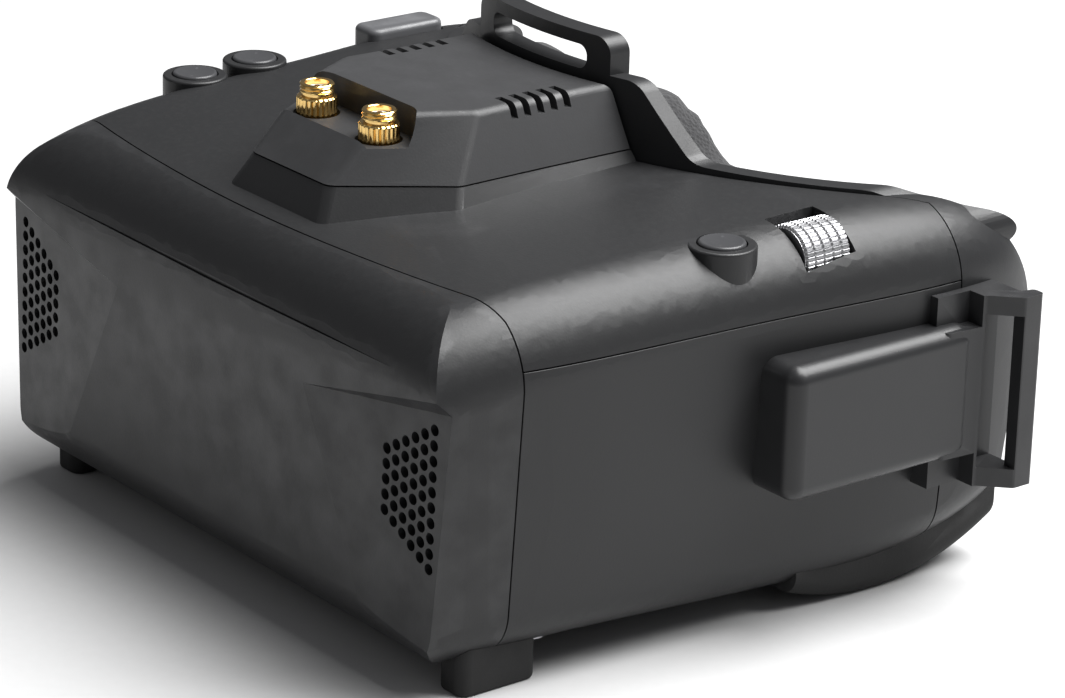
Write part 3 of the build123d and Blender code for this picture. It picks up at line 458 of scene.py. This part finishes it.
# ---- antenna sockets ---------------------------------------------------------------------
# Two coaxial sockets, turned from brass and plated with gold. A fluted collar stands in the
# recess, a quarter-inch thread with 36 turns to the inch rises from it, and a white
# insulator holds the hollow centre contact.
inch = 25.4 * mm
thread_pitch = inch / 36
thread_depth = 0.28 * mm
thread_radius = inch / 8
thread_length = 1.7 * mm
relief_length = 0.7 * mm
relief_depth = 0.35 * mm
collar_radius = 3.75 * mm
collar_length = 4.3 * mm
flute_count = 22
flute_depth = 0.30 * mm
neck_radius = 2.6 * mm
bore_radius = 2.25 * mm
bore_depth = 2.2 * mm
insulator_depth = 1.1 * mm
insulator_bore = 0.62 * mm
contact_radius = 0.56 * mm
around = 264
weld_distance = 0.0005 * mm
turned_angle = 40.0


def grid_mesh(name, rows, material):
    """Quads between rows of points; each row's end is joined to its start."""
    high, wide, _ = rows.shape
    index = np.arange(high * wide).reshape(high, wide)
    right = np.roll(index, -1, axis=1)
    faces = np.stack([index[:-1], right[:-1], right[1:], index[1:]], axis=-1).reshape(-1, 4)
    mesh = bpy.data.meshes.new(name)
    mesh.from_pydata(rows.reshape(-1, 3), [], faces.tolist())
    form = bmesh.new()
    form.from_mesh(mesh)
    bmesh.ops.remove_doubles(form, verts=form.verts, dist=weld_distance)
    bmesh.ops.dissolve_degenerate(form, edges=form.edges, dist=weld_distance)
    bmesh.ops.recalc_face_normals(form, faces=form.faces)
    form.to_mesh(mesh)
    form.free()
    mesh.shade_smooth()
    mesh.materials.append(material)
    piece = bpy.data.objects.new(name, mesh)
    bpy.context.scene.collection.objects.link(piece)
    return piece


def turned(name, profile, centre, material, axis="z", swing=None, turns=around):
    """A profile of (radius, height) carried round an axis; swing changes each radius.

    Point (t, k) is centre + r(k, t) * (cos t, sin t) in the plane across the axis, and
    height k along it. A radius of nought closes the surface at a pole.
    """
    angle = np.linspace(0.0, 2 * np.pi, turns, endpoint=False)
    radius, height = np.asarray(profile, float).T
    radius = np.repeat(radius[:, None], turns, axis=1)
    high = np.repeat(height[:, None], turns, axis=1)
    if swing is not None:
        radius = radius + swing(angle[None, :], high, radius)
    u, v = radius * np.cos(angle), radius * np.sin(angle)
    order = {"z": (u, v, high), "y": (v, high, u)}[axis]
    piece = grid_mesh(name, np.stack(order, axis=-1) + np.array(centre), material)
    piece.data.set_sharp_from_angle(angle=math.radians(turned_angle))
    return piece


def drawn_profile(corners, step):
    """A run of points along straight lines between corners, no further apart than step."""
    points = [corners[0]]
    for start, end in zip(corners, corners[1:]):
        count = max(1, math.ceil(math.dist(start, end) / step))
        points += [tuple(np.add(start, np.subtract(end, start) * (i / count))) for i in range(1, count + 1)]
    return points


gold = worked_metal("gold_plate", (0.93, 0.63, 0.24), 0.16, (1.0, 1.0, 10.0), 500.0, 0.004 * mm)
insulator_white = moulded_plastic("socket_insulator", (0.72, 0.71, 0.67), 0.35, 0.2 * mm, 0.004 * mm,
                                  rub=0.0, dust=0.0)


def antenna_socket(node):
    """The turned body with its thread and flutes, its insulator and its hollow contact."""
    low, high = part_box(node)
    centre = ((low.x + high.x) / 2, (low.y + high.y) / 2, 0.0)
    top = high.z
    thread_low = top - thread_length
    collar_high = thread_low - relief_length
    collar_low = collar_high - collar_length
    relief = thread_radius - relief_depth

    def swing(angle, height, radius):
        """Flutes cut the collar; the thread is a slanted triangle wave that fades at its ends."""
        outside = radius > bore_radius + 0.5 * mm
        on_collar = np.clip((height - collar_low) / (0.5 * mm), 0, 1)
        on_collar = on_collar * np.clip((collar_high - height) / (0.5 * mm), 0, 1)
        flutes = -flute_depth * (0.5 + 0.5 * np.cos(flute_count * angle)) ** 3 * on_collar
        turn = (height - thread_low) / thread_pitch - angle / (2 * np.pi)
        ridge = np.abs((turn % 1.0) - 0.5) * 2
        on_thread = np.clip((height - thread_low) / (0.2 * mm), 0, 1)
        on_thread = on_thread * np.clip((top - 0.25 * mm - height) / (0.2 * mm), 0, 1)
        return outside * (flutes - thread_depth * ridge * on_thread)

    corners = [
        (0.0, low.z), (neck_radius, low.z), (neck_radius, collar_low),
        (collar_radius - 0.25 * mm, collar_low),
        (collar_radius, collar_low + 0.25 * mm), (collar_radius, collar_high - 0.3 * mm),
        (collar_radius - 0.3 * mm, collar_high), (relief, collar_high),
        (relief, thread_low - 0.05 * mm), (thread_radius, thread_low + 0.05 * mm),
        (thread_radius, top - 0.2 * mm), (thread_radius - 0.2 * mm, top),
        (bore_radius + 0.12 * mm, top), (bore_radius, top - 0.12 * mm),
        (bore_radius, top - bore_depth), (0.0, top - bore_depth),
    ]
    body = turned(node + "_body", drawn_profile(corners, 0.09 * mm), centre, gold, swing=swing)
    rim = top - insulator_depth
    floor = top - bore_depth + 0.05 * mm
    outer = bore_radius - 0.03 * mm
    ring = [(insulator_bore, floor), (outer, floor), (outer, rim - 0.1 * mm), (outer - 0.1 * mm, rim),
            (insulator_bore + 0.1 * mm, rim), (insulator_bore, rim - 0.1 * mm), (insulator_bore, floor)]
    insulator = turned(node + "_insulator", drawn_profile(ring, 0.3 * mm), centre, insulator_white,
                       turns=48)
    foot = top - bore_depth + 0.1 * mm
    pin = [(0.0, foot), (contact_radius, foot), (contact_radius, rim + 0.35 * mm),
           (contact_radius - 0.08 * mm, rim + 0.45 * mm), (contact_radius - 0.22 * mm, rim + 0.40 * mm),
           (contact_radius - 0.26 * mm, rim - 0.3 * mm), (0.0, rim - 0.3 * mm)]
    contact = turned(node + "_contact", drawn_profile(pin, 0.2 * mm), centre, gold, turns=36)
    for piece, slot in ((body, "gold_plate"), (insulator, "socket_plastic"), (contact, "gold_plate")):
        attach(piece, "casing")
    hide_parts(node)


for side in ("left", "right"):
    antenna_socket("antenna_socket_" + side)


# ---- strap brackets ----------------------------------------------------------------------
# Each bracket is one thick moulding, screwed on from inside the housing. Its edges are
# polished by the webbing and by hands. The screws are zinc-plated steel.
bracket_edge = 0.7 * mm
bracket_angle = 18.0
bracket_plastic = moulded_plastic("bracket_plastic", (0.0165, 0.0167, 0.0176), 0.36, rub=0.08)
for side in ("left", "right"):
    eased("strap_bracket_" + side, bracket_plastic, edge=bracket_edge, corner=bracket_angle)
zinc = worked_metal("zinc_screws", (0.42, 0.42, 0.44), 0.34, (8.0, 1.0, 8.0))
finish_node(zinc, "bracket_screws", "housing_screws")


# ---- buttons, wheel and rocker -----------------------------------------------------------
# The round caps are satin mouldings with a shallow finger dish. The wheel is turned and
# cross-knurled aluminium on its holder's axle. The rocker is a soft grey key on a steel pin.
cap_colour = (0.040, 0.0405, 0.043)
cap_radius = 4.3 * mm
cap_roll = 0.55 * mm
cap_dish = 0.28 * mm
cap_flange = 0.95 * mm
cap_plastic = moulded_plastic("cap_plastic", cap_colour, 0.33, 0.3 * mm, 0.01 * mm, rub=0.2)


def button_cap(node):
    """A dished cap with a rolled rim, on the skirt and flange that hold it in its collar.

    The rim is a quarter circle of radius cap_roll. At a share s of the way out, the dish is
    cap_dish * (1 - s squared) to the power 0.8 deep.
    """
    low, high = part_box(node)
    flange = (high.x - low.x) / 2
    shoulder = low.z + cap_flange
    centre = ((low.x + high.x) / 2, (low.y + high.y) / 2, 0.0)
    top = high.z
    reach = cap_radius - cap_roll
    turn = np.linspace(0, np.pi / 2, 9)
    edge = [(reach + cap_roll * math.cos(t), top - cap_roll + cap_roll * math.sin(t)) for t in turn]
    inward = np.linspace(1.0, 0.0, 15)[1:]
    dish = [(reach * s, top - cap_dish * (1 - s ** 2) ** 0.8) for s in inward]
    profile = [(0.0, low.z), (flange, low.z), (flange, shoulder), (cap_radius, shoulder)]
    cap = turned(node + "_cap", profile + edge + dish, centre, cap_plastic, turns=96)
    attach(cap, node)
    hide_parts(node)


for name in ("record_button", "channel_button", "band_button"):
    button_cap(name)


wheel_metal = worked_metal("turned_aluminium", (0.42, 0.42, 0.43), 0.36, (1.0, 14.0, 1.0), 700.0)
wheel_radius = 6.0 * mm
wheel_face = 5.5 * mm
wheel_bevel = 0.4 * mm
axle_bore = 1.05 * mm
knurl_count = 44
knurl_depth = 0.34 * mm
knurl_rows = 5


def knurled_wheel(node):
    """A drum whose rim is cut both ways into small square pads.

    The radius falls by a narrow groove at each of knurl_count angles, and at knurl_rows - 1
    places across the width and its two ends.
    """
    low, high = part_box(node)
    centre = ((low.x + high.x) / 2, 0.0, (low.z + high.z) / 2)
    width = high.y - low.y

    def swing(angle, height, rim):
        """Two families of round-bottomed grooves."""
        on_rim = np.clip((rim - wheel_face + 0.1 * mm) / (0.3 * mm), 0, 1)
        across = np.abs(np.cos(knurl_count / 2 * angle)) ** 14
        place_along = (height - low.y) / width * knurl_rows
        along = np.abs(np.cos(np.pi * place_along)) ** 26
        return -knurl_depth * np.maximum(across, along) * on_rim

    corners = [(axle_bore, low.y), (wheel_face, low.y), (wheel_radius, low.y + wheel_bevel),
               (wheel_radius, high.y - wheel_bevel), (wheel_face, high.y), (axle_bore, high.y),
               (axle_bore, low.y)]
    wheel = turned(node + "_drum", drawn_profile(corners, 0.13 * mm), centre, wheel_metal, "y", swing,
                   turns=352)
    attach(wheel, "dial_wheel")
    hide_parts(node)


knurled_wheel("dial_wheel")
key_plastic = moulded_plastic("key_plastic", (0.075, 0.076, 0.080), 0.42, rub=0.25)
eased("rocker_key", key_plastic, "rocker_key", 0.25 * mm)
finish_node(worked_metal("ground_pin", (0.6, 0.6, 0.62), 0.2, (12.0, 1.0, 1.0)), "rocker_pin")


# ---- optics ------------------------------------------------------------------------------
# One clear acrylic lens sits in a black frame. A tunnel flocked with black fibre keeps stray
# light off the display, which is a dark glossy panel on a tray.
smear_depth = 0.005 * mm
flocked = moulded_plastic("flocked_black", (0.008, 0.008, 0.0085), 0.85, 0.25 * mm, 0.06 * mm, 0.02, 0.03)
finish_node(flocked, "light_hood", "lens_frame", "display_tray", "dial_holder")


def lens_acrylic():
    """Clear acrylic with a faint haze of fine wiping marks."""
    material, tree, shader, where = new_material("lens_acrylic")
    shader.inputs["Base Color"].default_value = (0.93, 0.96, 0.98, 1.0)
    shader.inputs["Transmission Weight"].default_value = 1.0
    shader.inputs["IOR"].default_value = 1.49
    marks = place(tree, "ShaderNodeTexNoise", {"Vector": where, "Scale": 350.0, "Detail": 6.0})
    rough_between(tree, shader, marks.outputs["Fac"], 0.0, 0.06)
    embossed(tree, shader, marks.outputs["Fac"], 0.05, smear_depth)
    return material


def display_glass():
    """A switched-off panel: near black, polished, with its fine grid of cells just showing."""
    material, tree, shader, where = new_material("display_glass")
    cells = place(tree, "ShaderNodeTexChecker", {"Vector": where, "Scale": 5000.0,
                                                 "Color1": (0.010, 0.011, 0.015, 1.0),
                                                 "Color2": (0.014, 0.015, 0.020, 1.0)})
    tree.links.new(cells.outputs["Color"], shader.inputs["Base Color"])
    prints = place(tree, "ShaderNodeTexNoise", {"Vector": where, "Scale": 120.0, "Detail": 5.0})
    rough_between(tree, shader, prints.outputs["Fac"], 0.05, 0.16)
    shader.inputs["Coat Weight"].default_value = 0.5
    embossed(tree, shader, prints.outputs["Fac"], 0.05, smear_depth)
    return material


eased("lens", lens_acrylic(), edge=0.3 * mm)
finish_node(display_glass(), "display_panel")


# ---- electronics and cooling -------------------------------------------------------------
# Chips are moulded epoxy. The heat sink is a saw-cut aluminium extrusion glued to the main
# board, and the fan behind the vents on the wearer's left blows out through the front.
epoxy = moulded_plastic("chip_epoxy", (0.018, 0.018, 0.019), 0.55, 0.15 * mm, 0.01 * mm, 0.05, 0.02)
finish_node(epoxy, "board_chips")
finish_node(worked_metal("sawn_aluminium", (0.72, 0.72, 0.74), 0.3, (1.0, 1.0, 14.0)), "heat_sink")
fan_plastic = moulded_plastic("fan_plastic", (0.014, 0.014, 0.015), 0.36, 0.3 * mm, 0.01 * mm, 0.1, 0.04)
finish_node(fan_plastic, "fan_housing", "fan_rotor")


# ---- power and audio sockets -------------------------------------------------------------
# Black glass-filled nylon bodies behind two holes in the side wall on the wearer's right.
nylon = moulded_plastic("socket_nylon", (0.014, 0.014, 0.0145), 0.5, 0.25 * mm, 0.02 * mm, 0.12, 0.03)
for name in ("power_jack", "audio_jack"):
    eased(name, nylon, edge=0.2 * mm)


# ---- feet and cheek rests ----------------------------------------------------------------
# Soft black rubber, moulded and glued under the casing. It is matt, and scuffed paler where
# it stands.
rubber = moulded_plastic("foot_rubber", (0.012, 0.012, 0.012), 0.74, 0.5 * mm, 0.04 * mm, 0.05, 0.05)
for name in ("front_foot_left", "front_foot_right", "cheek_rest_left", "cheek_rest_right"):
    eased(name, rubber, edge=0.4 * mm)


# ---- floor, light and camera -------------------------------------------------------------
# A plain mid-grey floor that reaches well past the goggles, one strong soft light above and
# behind on the wearer's left that makes it look white, two weak ones in front and at that
# side, and a long lens that looks down on the front left corner.
floor_reach = 3.0
floor_dark = (0.52, 0.52, 0.52, 1.0)
floor_light = (0.55, 0.55, 0.55, 1.0)
sky_colour = (0.95, 0.96, 1.0, 1.0)
sky_strength = 0.14
camera_aim = Vector((1.2, 6.5, -17.1)) * mm


def away_from(azimuth, elevation):
    """The unit vector towards a place round the goggles: azimuth 0 is in front, 90 the wearer's left."""
    turn = math.radians(azimuth)
    rise = math.radians(elevation)
    return Vector((math.sin(turn) * math.cos(rise), -math.cos(turn) * math.cos(rise), math.sin(rise)))


def plain_floor():
    """A flat sheet with a faint even tooth, at the height the goggles stand on."""
    material, tree, shader, where = new_material("plain_floor")
    tooth = place(tree, "ShaderNodeTexNoise", {"Vector": where, "Scale": 400.0, "Detail": 3.0})
    base = mixed(tree, tooth.outputs["Fac"], floor_dark, floor_light)
    tree.links.new(base, shader.inputs["Base Color"])
    shader.inputs["Roughness"].default_value = 0.7
    low = cad_box[0][2]
    signs = ((-1, -1), (1, -1), (1, 1), (-1, 1))
    mesh = bpy.data.meshes.new("floor")
    mesh.from_pydata([(floor_reach * i, floor_reach * j, low) for i, j in signs], [], [(0, 1, 2, 3)])
    mesh.materials.append(material)
    floor = bpy.data.objects.new("floor", mesh)
    bpy.context.scene.collection.objects.link(floor)


def soft_light(name, azimuth, elevation, distance, size, power, aim):
    """A square soft box that faces the goggles from a direction round them."""
    lamp = bpy.data.lights.new(name, "AREA")
    lamp.size = size
    lamp.energy = power
    light = bpy.data.objects.new(name, lamp)
    bpy.context.scene.collection.objects.link(light)
    away = away_from(azimuth, elevation)
    light.location = aim + away * distance
    light.rotation_euler = away.to_track_quat("Z", "Y").to_euler()


def camera(aim, azimuth, elevation, roll, distance, lens):
    """A camera round the goggles, turned about its own line of sight by roll."""
    data = bpy.data.cameras.new("camera")
    data.lens = lens
    data.sensor_width = 36.0
    data.clip_start = 0.01
    eye = bpy.data.objects.new("camera", data)
    bpy.context.scene.collection.objects.link(eye)
    away = away_from(azimuth, elevation)
    turn = math.radians(azimuth)
    right = Vector((math.cos(turn), math.sin(turn), 0.0))
    up = away.cross(right)
    swing = math.radians(roll)
    across = right * math.cos(swing) + up * math.sin(swing)
    upward = up * math.cos(swing) - right * math.sin(swing)
    eye.location = aim + away * distance
    eye.rotation_euler = Matrix((across, upward, away)).transposed().to_euler()
    bpy.context.scene.camera = eye


middle = Vector([(a + b) / 2 for a, b in zip(*cad_box)])
plain_floor()
soft_light("overhead", 150.0, 62.0, 1.1, 1.0, 42.0, middle)
soft_light("front_left", -20.0, 30.0, 1.4, 1.0, 0.9, middle)
soft_light("side", 100.0, 25.0, 1.5, 0.8, 0.5, middle)
camera(middle + camera_aim, 51.5, 20.5, 1.6, 0.827, 147.0)

world = bpy.data.worlds.new("studio")
world.use_nodes = True
world.node_tree.nodes["Background"].inputs["Color"].default_value = sky_colour
world.node_tree.nodes["Background"].inputs["Strength"].default_value = sky_strength
bpy.context.scene.world = world
bpy.context.scene.view_settings.view_transform = "Standard"
